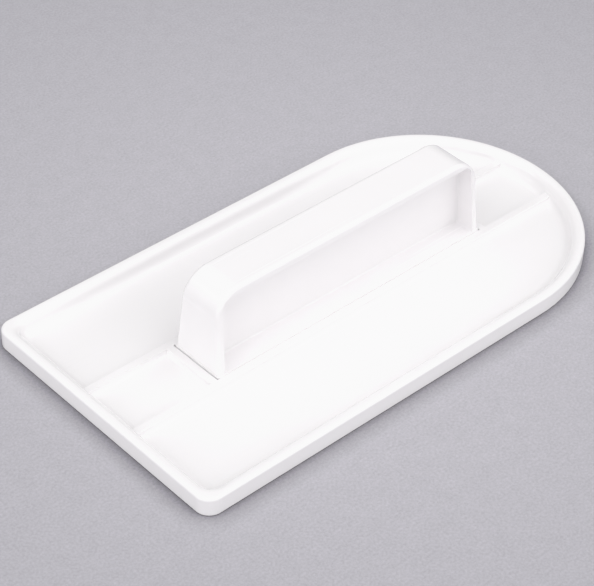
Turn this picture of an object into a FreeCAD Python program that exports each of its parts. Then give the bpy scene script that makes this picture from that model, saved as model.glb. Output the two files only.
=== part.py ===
import FreeCAD, Part
import math
import os

# Fondant smoother: a flat rimmed paddle with one square end and one round end, and a grip that
# plugs into a pocket on its upper face. Millimetres. The origin is the centre of the paddle's
# footprint, on the smoothing underside; +X runs to the round end and +Z is up.

# Driving dimensions of the paddle
PLATE_LENGTH = 150.0
PLATE_WIDTH = 80.0
EDGE_HEIGHT = 5.3
FLOOR_THICKNESS = 1.6
CORNER_RADIUS = 4.0
RIM_WIDTH = 1.4
RIM_OUTER_RADIUS = 0.8
RIM_SHOULDER_RADIUS = 2.2
COVE_RADIUS = 2.9
TRAY_CORNER_INSET = 6.5
UNDER_EDGE_RADIUS = 0.5

# Ribs that stiffen the paddle and form the pocket for the grip
RIB_HEIGHT = 3.0
RIB_THICKNESS = 2.1
RIB_FOOT_RADIUS = 0.9
RIB_TOP_RADIUS = 0.2
POCKET_EDGE_RADIUS = 0.05
POCKET_WIDTH = 16.5
POCKET_LENGTH = 89.9

# Grip
FOOT_LENGTH = 89.4
FOOT_WIDTH = 16.46
FOOT_TOP = 3.3
FOOT_LEDGE = 0.2
FOOT_CORNER_RADIUS = 0.7
GRIP_TOP_LENGTH = 86.6
GRIP_TOP_WIDTH = 12.2
GRIP_TOP_HEIGHT = 26.0
GRIP_END_RADIUS = 7.6
GRIP_EDGE_RADIUS = 1.1
STRIP_THICKNESS = 2.0
END_WALL_THICKNESS = 2.0
WEB_THICKNESS = 4.0
RECESS_UPPER_RADIUS = 2.2
RECESS_LOWER_RADIUS = 0.8
RECESS_ROOT_RADIUS = 0.5

# Tongue on the paddle and groove in the web: the hidden press joint between the two mouldings
TONGUE_LENGTH = 70.0
TONGUE_THICKNESS = 1.4
TONGUE_HEIGHT = 6.0
JOINT_CLEARANCE = 0.05
TONGUE_TIP_CLEARANCE = 0.4

# Values that follow from the driving dimensions
HALF_WIDTH = PLATE_WIDTH / 2
SQUARE_END = -PLATE_LENGTH / 2
ROUND_CENTRE = PLATE_LENGTH / 2 - HALF_WIDTH
RIM_SWEEP = RIM_SHOULDER_RADIUS + COVE_RADIUS
RIM_TURN = math.degrees(math.acos(1 - (EDGE_HEIGHT - FLOOR_THICKNESS) / RIM_SWEEP))
PAST = 5.0

X_AXIS = FreeCAD.Vector(1, 0, 0)
Y_AXIS = FreeCAD.Vector(0, 1, 0)
Z_AXIS = FreeCAD.Vector(0, 0, 1)


def outline(steps):
    """A closed wire through (x, y, z) points. A step of two points is an arc's middle and end."""
    edges = []
    start = here = FreeCAD.Vector(*steps[0])
    for step in steps[1:]:
        if len(step) == 2:
            middle, end = (FreeCAD.Vector(*point) for point in step)
            edges.append(Part.Arc(here, middle, end).toShape())
        else:
            end = FreeCAD.Vector(*step)
            edges.append(Part.LineSegment(here, end).toShape())
        here = end
    if here.distanceToPoint(start) > 1e-6:
        edges.append(Part.LineSegment(here, start).toShape())
    return Part.Wire(edges)


def section_face(steps):
    """A face in the YZ plane from steps of (y, z) points, with arcs as in an outline."""
    lifted = []
    for step in steps:
        if isinstance(step[0], tuple):
            lifted.append(tuple((0, across, height) for across, height in step))
        else:
            lifted.append((0, *step))
    return Part.Face(outline(lifted))


def arc_middle(centre, radius, angle):
    """The point of a circle in a section plane at an angle in degrees."""
    turn = math.radians(angle)
    return centre[0] + radius * math.cos(turn), centre[1] + radius * math.sin(turn)


def tray_section(reach):
    """The open space over the paddle's floor, in the YZ plane: its floor starts at y = 0. Its outer
    side climbs in a cove and turns over a round shoulder to the rim's flat top, at y = reach."""
    floor, top = FLOOR_THICKNESS, EDGE_HEIGHT
    foot = reach - RIM_SWEEP * math.sin(math.radians(RIM_TURN))
    cove_centre = (foot, floor + COVE_RADIUS)
    shoulder_centre = (reach, top - RIM_SHOULDER_RADIUS)
    return section_face(
        [
            (0, floor),
            (foot, floor),
            (
                arc_middle(cove_centre, COVE_RADIUS, RIM_TURN / 2 - 90),
                arc_middle(cove_centre, COVE_RADIUS, RIM_TURN - 90),
            ),
            (
                arc_middle(shoulder_centre, RIM_SHOULDER_RADIUS, 90 + RIM_TURN / 2),
                (reach, top),
            ),
            (reach, top + PAST),
            (0, top + PAST),
        ]
    )


def tray_space():
    """Everything inside the rim: a side, a quarter turn at the corner and half the square end,
    with their mirror images, and the half turn of the round end."""
    corner_x = SQUARE_END + TRAY_CORNER_INSET
    corner_y = HALF_WIDTH - TRAY_CORNER_INSET
    wide = tray_section(HALF_WIDTH - RIM_WIDTH)
    narrow = tray_section(TRAY_CORNER_INSET - RIM_WIDTH)
    side = wide.extrude(X_AXIS * (ROUND_CENTRE - corner_x))
    side.translate(X_AXIS * corner_x)
    corner = narrow.revolve(FreeCAD.Vector(), Z_AXIS, 90)
    corner.translate(FreeCAD.Vector(corner_x, corner_y, 0))
    across = narrow.extrude(X_AXIS * corner_y)
    across.rotate(FreeCAD.Vector(), Z_AXIS, 90)
    across.translate(X_AXIS * corner_x)
    round_end = wide.revolve(FreeCAD.Vector(), Z_AXIS, -180)
    round_end.translate(X_AXIS * ROUND_CENTRE)
    half = [side, corner, across]
    mirrored = [piece.mirror(FreeCAD.Vector(), Y_AXIS) for piece in half]
    return round_end.multiFuse(half + mirrored).removeSplitter()


def plate_block():
    """The paddle's outer form: square end, round end, and rounded edges all the way round."""
    left, reach, corner = SQUARE_END, HALF_WIDTH, CORNER_RADIUS
    low = arc_middle((left + corner, corner - reach), corner, 225)
    high = arc_middle((left + corner, reach - corner), corner, 135)
    wire = outline(
        [
            (left + corner, -reach, 0),
            (ROUND_CENTRE, -reach, 0),
            ((ROUND_CENTRE + reach, 0, 0), (ROUND_CENTRE, reach, 0)),
            (left + corner, reach, 0),
            ((*high, 0), (left, reach - corner, 0)),
            (left, corner - reach, 0),
            ((*low, 0), (left + corner, -reach, 0)),
        ]
    )
    block = Part.Face(wire).extrude(Z_AXIS * EDGE_HEIGHT)
    under = [edge for edge in block.Edges if edge.BoundBox.ZMax < 0.1]
    block = block.makeFillet(UNDER_EDGE_RADIUS, under)
    upper = [edge for edge in block.Edges if edge.BoundBox.ZMin > EDGE_HEIGHT - 0.1]
    return block.makeFillet(RIM_OUTER_RADIUS, upper)


def inset_prism(inset, top):
    """The paddle's outline moved inward, with sharp square corners, as a prism."""
    left = SQUARE_END + inset
    reach = HALF_WIDTH - inset
    wire = outline(
        [
            (left, -reach, 0),
            (ROUND_CENTRE, -reach, 0),
            ((ROUND_CENTRE + reach, 0, 0), (ROUND_CENTRE, reach, 0)),
            (left, reach, 0),
        ]
    )
    return Part.Face(wire).extrude(Z_AXIS * top)


def rib_section(coved_inside):
    """A rib in the YZ plane about y = 0. Its outer side, at +y, has a coved foot; its inner side,
    towards the pocket, has a crisp top edge and has a coved foot where it is asked for."""
    half = RIB_THICKNESS / 2
    floor, top = FLOOR_THICKNESS, RIB_HEIGHT
    foot, inner, outer = RIB_FOOT_RADIUS, POCKET_EDGE_RADIUS, RIB_TOP_RADIUS
    root = floor - FLOOR_THICKNESS / 2
    if coved_inside:
        centre = (-half - foot, floor + foot)
        steps = [
            (-half - foot, root),
            (-half - foot, floor),
            (arc_middle(centre, foot, -45), (-half, floor + foot)),
        ]
    else:
        steps = [(-half, root)]
    steps += [
        (-half, top - inner),
        (arc_middle((-half + inner, top - inner), inner, 135), (-half + inner, top)),
        (half - outer, top),
        (arc_middle((half - outer, top - outer), outer, 45), (half, top - outer)),
        (half, floor + foot),
        (arc_middle((half + foot, floor + foot), foot, 225), (half + foot, floor)),
        (half + foot, root),
    ]
    return section_face(steps)


def long_rib(side):
    """A rib from the square end's rim to the round end's, just outside the pocket."""
    rib = rib_section(True).extrude(X_AXIS * (PLATE_LENGTH + 2 * PAST))
    rib.translate(FreeCAD.Vector(SQUARE_END - PAST, (POCKET_WIDTH + RIB_THICKNESS) / 2, 0))
    if side < 0:
        rib = rib.mirror(FreeCAD.Vector(), Y_AXIS)
    return rib.common(inset_prism(RIM_WIDTH, EDGE_HEIGHT))


def cross_rib(end):
    """A rib across the channel that closes one end of the pocket."""
    span = POCKET_WIDTH + RIB_THICKNESS
    rib = rib_section(False).extrude(X_AXIS * span)
    rib.rotate(FreeCAD.Vector(), Z_AXIS, -90 * end)
    rib.translate(FreeCAD.Vector(end * (POCKET_LENGTH + RIB_THICKNESS) / 2, end * span / 2, 0))
    return rib


def base_plate():
    """The paddle: floor, rim, ribs, the pocket for the grip and the tongue inside it."""
    ribs = [long_rib(side) for side in (-1, 1)] + [cross_rib(end) for end in (-1, 1)]
    plate = plate_block().cut(tray_space()).multiFuse(ribs)
    pocket = Part.makeBox(
        POCKET_LENGTH,
        POCKET_WIDTH,
        EDGE_HEIGHT,
        FreeCAD.Vector(-POCKET_LENGTH / 2, -POCKET_WIDTH / 2, FLOOR_THICKNESS),
    )
    tongue = Part.makeBox(
        TONGUE_LENGTH,
        TONGUE_THICKNESS,
        TONGUE_HEIGHT + FLOOR_THICKNESS / 2,
        FreeCAD.Vector(-TONGUE_LENGTH / 2, -TONGUE_THICKNESS / 2, FLOOR_THICKNESS / 2),
    )
    return plate.cut(pocket).fuse(tongue).removeSplitter()


def foot_block():
    """The straight-sided foot that fills the pocket, with rounded upright corners."""
    foot = Part.makeBox(
        FOOT_LENGTH,
        FOOT_WIDTH,
        FOOT_TOP - FLOOR_THICKNESS,
        FreeCAD.Vector(-FOOT_LENGTH / 2, -FOOT_WIDTH / 2, FLOOR_THICKNESS),
    )
    corners = [edge for edge in foot.Edges if edge.BoundBox.ZLength > 1]
    return foot.makeFillet(FOOT_CORNER_RADIUS, corners)


def grip_block():
    """The grip's outer form above its foot: drafted on all sides, with rounded ends and edges."""
    foot, top = FOOT_TOP, GRIP_TOP_HEIGHT
    low, high = FOOT_LENGTH / 2 - FOOT_LEDGE, GRIP_TOP_LENGTH / 2
    lean = math.atan2(low - high, top - foot)
    reach = GRIP_END_RADIUS * math.tan((math.pi / 2 - lean) / 2)
    shoulder = (high + reach * math.sin(lean), top - reach * math.cos(lean))
    centre = (high - reach, top - GRIP_END_RADIUS)
    bulge = arc_middle(centre, GRIP_END_RADIUS, math.degrees(math.pi / 2 + lean) / 2)
    depth = -FOOT_WIDTH
    side_view = outline(
        [
            (-low, depth, foot),
            (low, depth, foot),
            (shoulder[0], depth, shoulder[1]),
            ((bulge[0], depth, bulge[1]), (centre[0], depth, top)),
            (-centre[0], depth, top),
            ((-bulge[0], depth, bulge[1]), (-shoulder[0], depth, shoulder[1])),
        ]
    )
    wide, narrow = FOOT_WIDTH / 2 - FOOT_LEDGE, GRIP_TOP_WIDTH / 2
    end_view = outline(
        [
            (-PLATE_LENGTH, -wide, foot),
            (-PLATE_LENGTH, wide, foot),
            (-PLATE_LENGTH, narrow, top),
            (-PLATE_LENGTH, -narrow, top),
        ]
    )
    long_form = Part.Face(side_view).extrude(Y_AXIS * (-2 * depth))
    cross_form = Part.Face(end_view).extrude(X_AXIS * (2 * PLATE_LENGTH))
    block = long_form.common(cross_form)
    rounded = []
    for face in block.Faces:
        if abs(face.normalAt(0, 0).y) > 0.9:
            rounded += [edge for edge in face.Edges if edge.BoundBox.ZMax > foot + 0.1]
    return block.makeFillet(GRIP_EDGE_RADIUS, rounded)


def finger_recess(side):
    """The finger space under the top strip, on one side of the web."""
    outer = FOOT_LENGTH / 2 - FOOT_LEDGE
    lean = (outer - GRIP_TOP_LENGTH / 2) / (GRIP_TOP_HEIGHT - FOOT_TOP)
    low, high = FOOT_TOP, GRIP_TOP_HEIGHT - STRIP_THICKNESS
    base = outer - END_WALL_THICKNESS
    crest = base - lean * (high - low)
    wire = outline([(-base, 0, low), (base, 0, low), (crest, 0, high), (-crest, 0, high)])
    recess = Part.Face(wire).extrude(Y_AXIS * (side * FOOT_WIDTH))
    recess.translate(Y_AXIS * (side * WEB_THICKNESS / 2))
    corners = [edge for edge in recess.Edges if edge.BoundBox.YLength > FOOT_WIDTH / 2]
    upper = [edge for edge in corners if edge.BoundBox.ZMax > (low + high) / 2]
    recess = recess.makeFillet(RECESS_UPPER_RADIUS, upper)
    corners = [edge for edge in recess.Edges if edge.BoundBox.YLength > FOOT_WIDTH / 2]
    lower = [edge for edge in corners if edge.BoundBox.ZMax < low + 0.1]
    recess = recess.makeFillet(RECESS_LOWER_RADIUS, lower)
    root = [edge for edge in recess.Edges if abs(edge.BoundBox.Center.y) < WEB_THICKNESS]
    return recess.makeFillet(RECESS_ROOT_RADIUS, root)


def handle():
    """The grip: top strip, two end walls and a foot round a central web, grooved underneath."""
    grip = foot_block().fuse(grip_block())
    for side in (-1, 1):
        grip = grip.cut(finger_recess(side))
    groove_height = TONGUE_HEIGHT + TONGUE_TIP_CLEARANCE
    groove = Part.makeBox(
        TONGUE_LENGTH + 2 * TONGUE_TIP_CLEARANCE,
        TONGUE_THICKNESS + 2 * JOINT_CLEARANCE,
        groove_height,
        FreeCAD.Vector(
            -TONGUE_LENGTH / 2 - TONGUE_TIP_CLEARANCE,
            -TONGUE_THICKNESS / 2 - JOINT_CLEARANCE,
            FLOOR_THICKNESS,
        ),
    )
    return grip.cut(groove).removeSplitter()


NODES = {"base_plate": base_plate, "handle": handle}

os.makedirs("parts", exist_ok=True)
for name, make in NODES.items():
    shape = make()
    solid = shape.Solids[0] if len(shape.Solids) == 1 else shape
    box = solid.BoundBox
    print(
        name,
        "valid" if solid.isValid() else "INVALID",
        len(shape.Solids),
        "solids, volume %.1f mm3" % solid.Volume,
        "box %.2f %.2f %.2f to %.2f %.2f %.2f"
        % (box.XMin, box.YMin, box.ZMin, box.XMax, box.YMax, box.ZMax),
    )
    solid.exportStep("parts/%s.step" % name)
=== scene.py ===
import math
import bpy
from mathutils import Matrix, Vector

# The camera: the view the object is shown from, with angles in degrees and lengths in metres.
# Azimuth 0 looks along +Y.
CAMERA_AZIMUTH = -43.27
CAMERA_ELEVATION = 39.79
CAMERA_ROLL = 1.81
CAMERA_DISTANCE = 0.5205
CAMERA_TARGET = (-0.00634, 0.00612, 0.0)
CAMERA_LENS_MM = 124.77
CAMERA_SENSOR_MM = 36.0

# Brightness before and after the view's curve, both linear, in straight runs: the shadows are
# lifted, the middle tones rise to a knee just below white, and only highlights go past it.
TONE_CURVE = ((0.0, 0.0), (0.2, 0.4), (0.6, 0.95), (1.0, 1.0))
# Blender's place for the curve that acts on all three channels.
COMBINED_CURVE = 3

# Broad patches of soft light: direction, strength.
SOFT_LIGHTS = (
    ((-0.52, -0.55, 0.65), 0.25),
    ((0.6, -0.6, 0.5), 0.35),
    ((0.0, 0.0, 1.0), 0.75),
    ((0.3, -0.9, 0.25), 0.55),
    ((-0.9, 0.0, 0.3), 0.9),
    ((0.6, 0.75, 0.12), 0.05),
)
# Each patch is full where the cosine of the angle from its middle is over the core, and fades to
# nothing at the edge.
SOFT_LIGHT_EDGE = 0.70
SOFT_LIGHT_CORE = 0.92
ROOM_LIGHT = 0.11

# Small square lamps that give the highlights: place, power in watts. They face the object.
SOFTBOXES = {
    "right_softbox": ((0.52, -0.20, 0.83), 0.26),
    "left_softbox": ((-0.65, 0.55, 0.52), 0.20),
}
SOFTBOX_SIZE = 0.14

FLOOR_SIZE = 6.0
# The object sinks this far into the paper, so that the two never share a plane and its own face is
# the nearer one from below.
FLOOR_RISE = 0.00005
# Painted pool of light on the paper: its colour near the object, its colour far out, and the distances
# in metres over which the one turns into the other.
FLOOR_LIT_POOL_COLOUR = (0.43, 0.415, 0.46)
FLOOR_COLOUR_FAR = (0.25, 0.243, 0.275)
FLOOR_LIT_POOL_FULL = 0.06
FLOOR_LIT_POOL_END = 0.30
# Painted contact shade on the paper: how far it reaches in metres, and the power that deepens it.
FLOOR_CONTACT_SHADE_REACH = 0.006
FLOOR_CONTACT_SHADE_DEPTH = 1.1
FLOOR_ROUGHNESS = 0.85
# Paper clouds and fibres: features per metre. The tone is multiplied by a cloud's factor plus a
# fibre's.
FIBRE_SCALE = 1500
FIBRE_TONE = (-0.19, 0.19)
CLOUD_SCALE = 220
CLOUD_TONE = (0.95, 1.05)
PAPER_DEPTH = 0.00003
PAPER_BUMP = 0.3

PLASTIC_COLOUR = (0.925, 0.905, 0.918)
PLASTIC_SHADE = (0.895, 0.876, 0.886)
WORN_COLOUR = (0.86, 0.845, 0.85)
# Each piece's roughness, and the directions of its scratches in radians.
FINISHES = {
    "base_plate": (0.15, (0.35, -0.9)),
    "handle": (0.18, (0.12, -0.3)),
}
# Parts of a noise's range that are spread over the whole effect.
NOISE_MIDDLE = (0.3, 0.7)
NOISE_WIDE = (0.2, 0.8)
# Edges are rubbed in patches: the noise's range, and how much from its least to its most.
RUBBED_NOISE = (0.35, 0.65)
RUBBED_PATCHES = (0.3, 1.0)
# Marks in the plastic: features per metre, along each axis where they are longer one way.
MOTTLE_SCALE = 55
FLOW_SCALE = (14, 75, 75)
GRAIN_SCALE = 2600
PEEL_SCALE = 420
SCRATCH_SCALE = (22, 1900, 400)
# Scratches show where their noise is over the threshold, and are full just past it.
SCRATCH_THRESHOLD = 0.70
SCRATCH_FADE = 0.03
# Faces count as level from the first to the second upright part of their normal.
LEVEL_FACE = (0.8, 0.95)
EDGE_RADIUS = 0.0007
EDGE_BEVEL_SAMPLES = 4
# An edge's rounded normal turns away from the face's own: the cosines where it starts and is full.
EDGE_COSINES = (1.0, 0.9)
# How much mottling, rubbed edges and scratches change the colour.
MOTTLE_SHADE = 0.35
RUBBED_TONE = 0.25
SCRATCH_TONE = 0.15
# How much flow marks, rubbed edges and scratches change the roughness.
FLOW_GLOSS = (-0.035, 0.045)
RUBBED_ROUGHNESS = 0.09
SCRATCH_ROUGHNESS = 0.10
# Depths in metres, and strengths, of the bumps.
PEEL_DEPTH = 0.00002
PEEL_BUMP = 0.35
GRAIN_DEPTH = 0.000006
GRAIN_BUMP = 0.35
SCRATCH_DEPTH = 0.000006
SCRATCH_BUMP = 0.4


def node_material(name):
    """A new material with a Principled shader, its nodes and its links."""
    material = bpy.data.materials.new(name)
    material.use_nodes = True
    return material, material.node_tree.nodes, material.node_tree.links


def object_place(nodes):
    """The object's own coordinates, in metres."""
    return nodes.new("ShaderNodeTexCoord").outputs["Object"]


def face_normal(nodes):
    """The direction that the face looks in."""
    return nodes.new("ShaderNodeNewGeometry").outputs["Normal"]


def stretched(nodes, links, place, scale, turn=0.0):
    """Coordinates turned about the vertical and then scaled along each axis."""
    mapping = nodes.new("ShaderNodeMapping")
    mapping.inputs["Rotation"].default_value = (0, 0, turn)
    mapping.inputs["Scale"].default_value = scale
    links.new(place, mapping.inputs["Vector"])
    return mapping.outputs["Vector"]


def noise(nodes, links, place, scale, detail, roughness=0.5):
    """Noise with features one over scale metres wide."""
    texture = nodes.new("ShaderNodeTexNoise")
    texture.inputs["Scale"].default_value = scale
    texture.inputs["Detail"].default_value = detail
    texture.inputs["Roughness"].default_value = roughness
    links.new(place, texture.inputs["Vector"])
    return texture.outputs["Fac"]


def spread(nodes, links, value, from_range, to_range=(0.0, 1.0)):
    """A value spread from one range over another, and held inside it."""
    remap = nodes.new("ShaderNodeMapRange")
    remap.inputs["From Min"].default_value, remap.inputs["From Max"].default_value = from_range
    remap.inputs["To Min"].default_value, remap.inputs["To Max"].default_value = to_range
    links.new(value, remap.inputs["Value"])
    return remap.outputs["Result"]


def blend(nodes, links, amount, first, second):
    """A colour between two, which are colours or sockets."""
    mix = nodes.new("ShaderNodeMix")
    mix.data_type = "RGBA"
    links.new(amount, mix.inputs["Factor"])
    colour_inputs = [socket for socket in mix.inputs if socket.type == "RGBA"]
    for socket, colour in zip(colour_inputs, (first, second)):
        if isinstance(colour, tuple):
            socket.default_value = (*colour, 1)
        else:
            links.new(colour, socket)
    return next(socket for socket in mix.outputs if socket.type == "RGBA")


def maths(nodes, links, operation, first, second):
    """One sum on two values, which are numbers or sockets."""
    node = nodes.new("ShaderNodeMath")
    node.operation = operation
    for socket, value in zip(node.inputs, (first, second)):
        if isinstance(value, (int, float)):
            socket.default_value = value
        else:
            links.new(value, socket)
    return node.outputs["Value"]


def bump(nodes, links, height, distance, strength, normal=None):
    """A normal tilted by the slope of a height, on top of another normal if there is one."""
    node = nodes.new("ShaderNodeBump")
    node.inputs["Distance"].default_value = distance
    node.inputs["Strength"].default_value = strength
    links.new(height, node.inputs["Height"])
    if normal is not None:
        links.new(normal, node.inputs["Normal"])
    return node.outputs["Normal"]


def edge_mask(nodes, links):
    """1 on the edges and corners of the piece, falling to 0 on its open faces."""
    bevel = nodes.new("ShaderNodeBevel")
    bevel.samples = EDGE_BEVEL_SAMPLES
    bevel.inputs["Radius"].default_value = EDGE_RADIUS
    dot = nodes.new("ShaderNodeVectorMath")
    dot.operation = "DOT_PRODUCT"
    links.new(bevel.outputs["Normal"], dot.inputs[0])
    links.new(face_normal(nodes), dot.inputs[1])
    return spread(nodes, links, dot.outputs["Value"], EDGE_COSINES)


def scratches(nodes, links, place, turn):
    """Thin, long, broken lines in one direction, on the faces that look up or down."""
    along = stretched(nodes, links, place, SCRATCH_SCALE, turn)
    lines = noise(nodes, links, along, scale=1.0, detail=1)
    visible = (SCRATCH_THRESHOLD, SCRATCH_THRESHOLD + SCRATCH_FADE)
    lines = spread(nodes, links, lines, visible)
    facing = nodes.new("ShaderNodeSeparateXYZ")
    links.new(face_normal(nodes), facing.inputs[0])
    level = maths(nodes, links, "ABSOLUTE", facing.outputs["Z"], 0.0)
    return maths(nodes, links, "MULTIPLY", lines, spread(nodes, links, level, LEVEL_FACE))


def crossed_scratches(nodes, links, place, turns):
    """Scratches in several directions, as one set of marks."""
    marks = None
    for turn in turns:
        lines = scratches(nodes, links, place, turn)
        marks = lines if marks is None else maths(nodes, links, "MAXIMUM", marks, lines)
    return marks


def white_plastic(name, roughness, scratch_turns):
    """Glossy white moulded plastic: faint mottling and flow marks, a slight orange peel, hairline
    scratches, and edges rubbed a little duller than the faces."""
    material, nodes, links = node_material(name)
    shader = nodes["Principled BSDF"]
    place = object_place(nodes)
    mottle = noise(nodes, links, place, MOTTLE_SCALE, detail=3)
    along = stretched(nodes, links, place, FLOW_SCALE)
    flow = noise(nodes, links, along, scale=1.0, detail=4, roughness=0.6)
    grain = noise(nodes, links, place, GRAIN_SCALE, detail=2)
    peel = noise(nodes, links, place, PEEL_SCALE, detail=1)
    patchy = spread(nodes, links, mottle, RUBBED_NOISE, RUBBED_PATCHES)
    rubbed = maths(nodes, links, "MULTIPLY", edge_mask(nodes, links), patchy)
    marks = crossed_scratches(nodes, links, place, scratch_turns)

    shade = spread(nodes, links, mottle, NOISE_MIDDLE, (0.0, MOTTLE_SHADE))
    tone = blend(nodes, links, shade, PLASTIC_COLOUR, PLASTIC_SHADE)
    gloss_range = tuple(roughness + change for change in FLOW_GLOSS)
    gloss = spread(nodes, links, flow, NOISE_MIDDLE, gloss_range)
    for wear, wear_tone, wear_roughness in (
        (rubbed, RUBBED_TONE, RUBBED_ROUGHNESS),
        (marks, SCRATCH_TONE, SCRATCH_ROUGHNESS),
    ):
        tone = blend(nodes, links, maths(nodes, links, "MULTIPLY", wear, wear_tone), tone, WORN_COLOUR)
        duller = maths(nodes, links, "MULTIPLY", wear, wear_roughness)
        gloss = maths(nodes, links, "ADD", gloss, duller)
    links.new(tone, shader.inputs["Base Color"])
    links.new(gloss, shader.inputs["Roughness"])

    cut = maths(nodes, links, "MULTIPLY", marks, -1.0)
    normal = bump(nodes, links, peel, PEEL_DEPTH, PEEL_BUMP)
    normal = bump(nodes, links, grain, GRAIN_DEPTH, GRAIN_BUMP, normal)
    normal = bump(nodes, links, cut, SCRATCH_DEPTH, SCRATCH_BUMP, normal)
    links.new(normal, shader.inputs["Normal"])
    return material


def paint_nodes():
    """Each CAD node gets its own plastic in its material slots, and smooth shading."""
    for name, (roughness, scratch_turns) in FINISHES.items():
        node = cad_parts[name]
        material = white_plastic(name + "_white_plastic", roughness, scratch_turns)
        for slot in node.material_slots:
            slot.material = material
        for polygon in node.data.polygons:
            polygon.use_smooth = True


def floor_paper():
    """Plain paper with a fine grain, a painted pool of light that makes it a little lighter around the
    object, and painted contact shade that makes it darker in the narrow gap where the object meets it."""
    material, nodes, links = node_material("floor_paper")
    shader = nodes["Principled BSDF"]
    place = object_place(nodes)
    distance = nodes.new("ShaderNodeVectorMath")
    distance.operation = "LENGTH"
    links.new(place, distance.inputs[0])
    # Painted light: the paper is lighter near the object, as a pool of light, and darker farther out.
    outside_lit_pool = spread(nodes, links, distance.outputs["Value"], (FLOOR_LIT_POOL_FULL, FLOOR_LIT_POOL_END))
    tone = blend(nodes, links, outside_lit_pool, FLOOR_LIT_POOL_COLOUR, FLOOR_COLOUR_FAR)

    fibres = noise(nodes, links, place, FIBRE_SCALE, detail=2, roughness=0.7)
    clouds = noise(nodes, links, place, CLOUD_SCALE, detail=3, roughness=0.6)
    grain = maths(
        nodes,
        links,
        "ADD",
        spread(nodes, links, fibres, NOISE_WIDE, FIBRE_TONE),
        spread(nodes, links, clouds, NOISE_WIDE, CLOUD_TONE),
    )
    # Painted shade: the paper's colour is darkened by ambient occlusion where the object encloses it,
    # as a contact shadow.
    occlusion_shade = nodes.new("ShaderNodeAmbientOcclusion")
    occlusion_shade.inputs["Distance"].default_value = FLOOR_CONTACT_SHADE_REACH
    painted_contact_shade = maths(nodes, links, "POWER", occlusion_shade.outputs["AO"], FLOOR_CONTACT_SHADE_DEPTH)
    # The paper's colour with its grain, its painted pool of light and its painted contact shade.
    grain_and_painted_light = nodes.new("ShaderNodeVectorMath")
    grain_and_painted_light.operation = "SCALE"
    links.new(tone, grain_and_painted_light.inputs[0])
    links.new(maths(nodes, links, "MULTIPLY", grain, painted_contact_shade), grain_and_painted_light.inputs["Scale"])
    links.new(grain_and_painted_light.outputs["Vector"], shader.inputs["Base Color"])
    shader.inputs["Roughness"].default_value = FLOOR_ROUGHNESS
    links.new(bump(nodes, links, grain, PAPER_DEPTH, PAPER_BUMP), shader.inputs["Normal"])
    return material


def lay_floor():
    """One large flat sheet of paper under the object."""
    mesh = bpy.data.meshes.new("floor")
    half = FLOOR_SIZE / 2
    sides = ((-half, -half), (half, -half), (half, half), (-half, half))
    mesh.from_pydata([(x, y, FLOOR_RISE) for x, y in sides], [], [(0, 1, 2, 3)])
    mesh.materials.append(floor_paper())
    floor = bpy.data.objects.new("floor", mesh)
    bpy.context.scene.collection.objects.link(floor)


def add_softbox(name, place, power):
    """A square lamp at a place, which faces the middle of the object's underside."""
    light = bpy.data.lights.new(name, "AREA")
    light.shape = "SQUARE"
    light.size = SOFTBOX_SIZE
    light.energy = power
    holder = bpy.data.objects.new(name, light)
    holder.location = place
    holder.rotation_euler = (-Vector(place)).to_track_quat("-Z", "Y").to_euler()
    bpy.context.scene.collection.objects.link(holder)


def soft_patch(nodes, links, towards, direction, strength):
    """The light from one broad patch of the room, in each direction looked in."""
    dot = nodes.new("ShaderNodeVectorMath")
    dot.operation = "DOT_PRODUCT"
    dot.inputs[1].default_value = Vector(direction).normalized()
    links.new(towards, dot.inputs[0])
    patch = nodes.new("ShaderNodeMapRange")
    patch.interpolation_type = "SMOOTHSTEP"
    patch.inputs["From Min"].default_value = SOFT_LIGHT_EDGE
    patch.inputs["From Max"].default_value = SOFT_LIGHT_CORE
    patch.inputs["To Max"].default_value = strength
    links.new(dot.outputs["Value"], patch.inputs["Value"])
    return patch.outputs["Result"]


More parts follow.
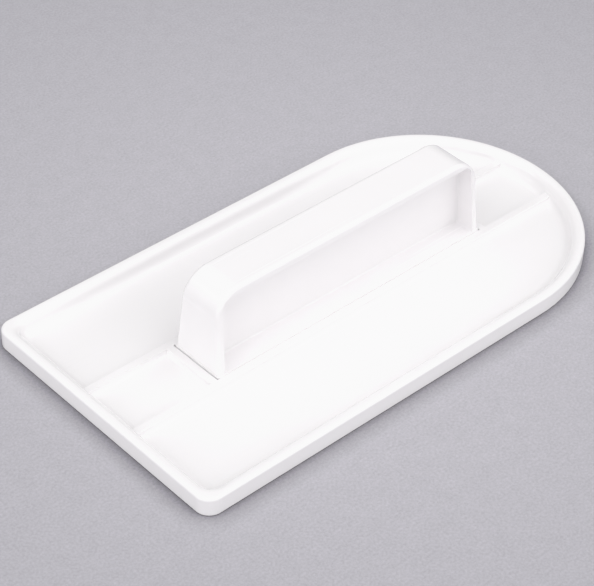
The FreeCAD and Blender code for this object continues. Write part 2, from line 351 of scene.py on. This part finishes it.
def light_studio():
    """Soft white light from broad patches of the room, and small softboxes for the highlights."""
    world = bpy.data.worlds.new("studio")
    bpy.context.scene.world = world
    world.use_nodes = True
    nodes, links = world.node_tree.nodes, world.node_tree.links
    background = nodes["Background"]
    background.inputs["Color"].default_value = (1, 1, 1, 1)
    towards = nodes.new("ShaderNodeTexCoord").outputs["Generated"]
    total = ROOM_LIGHT
    for direction, strength in SOFT_LIGHTS:
        patch = soft_patch(nodes, links, towards, direction, strength)
        total = maths(nodes, links, "ADD", total, patch)
    links.new(total, background.inputs["Strength"])
    for name, (place, power) in SOFTBOXES.items():
        add_softbox(name, place, power)


def expose():
    """The tone curve, with straight runs between its points."""
    view = bpy.context.scene.view_settings
    view.view_transform = "Standard"
    view.use_curve_mapping = True
    curve = view.curve_mapping.curves[COMBINED_CURVE]
    for brightness, display in TONE_CURVE[1:-1]:
        curve.points.new(brightness, display)
    curve.points[0].location = TONE_CURVE[0]
    curve.points[-1].location = TONE_CURVE[-1]
    for point in curve.points:
        point.handle_type = "VECTOR"
    view.curve_mapping.update()


def place_camera():
    """The camera, on a line from its target at the given angles, turned about that line by the roll."""
    camera = bpy.data.cameras.new("camera")
    camera.sensor_fit = "HORIZONTAL"
    camera.sensor_width = CAMERA_SENSOR_MM
    camera.lens = CAMERA_LENS_MM
    holder = bpy.data.objects.new("camera", camera)
    azimuth, elevation = math.radians(CAMERA_AZIMUTH), math.radians(CAMERA_ELEVATION)
    level = math.cos(elevation)
    back = Vector((math.sin(azimuth) * level, -math.cos(azimuth) * level, math.sin(elevation)))
    right = Vector((math.cos(azimuth), math.sin(azimuth), 0))
    up = back.cross(right)
    turn = Matrix((right, up, back)).transposed().to_4x4()
    roll = Matrix.Rotation(math.radians(CAMERA_ROLL), 4, "Z")
    place = Vector(CAMERA_TARGET) + back * CAMERA_DISTANCE
    holder.matrix_world = Matrix.Translation(place) @ turn @ roll
    bpy.context.scene.collection.objects.link(holder)
    bpy.context.scene.camera = holder


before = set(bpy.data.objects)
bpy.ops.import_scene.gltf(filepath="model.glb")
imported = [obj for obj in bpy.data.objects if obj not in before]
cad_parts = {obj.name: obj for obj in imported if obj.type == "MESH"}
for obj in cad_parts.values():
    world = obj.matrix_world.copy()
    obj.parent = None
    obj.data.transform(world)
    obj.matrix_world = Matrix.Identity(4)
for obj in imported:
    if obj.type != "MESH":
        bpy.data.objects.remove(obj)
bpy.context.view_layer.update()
paint_nodes()
lay_floor()
light_studio()
place_camera()
expose()
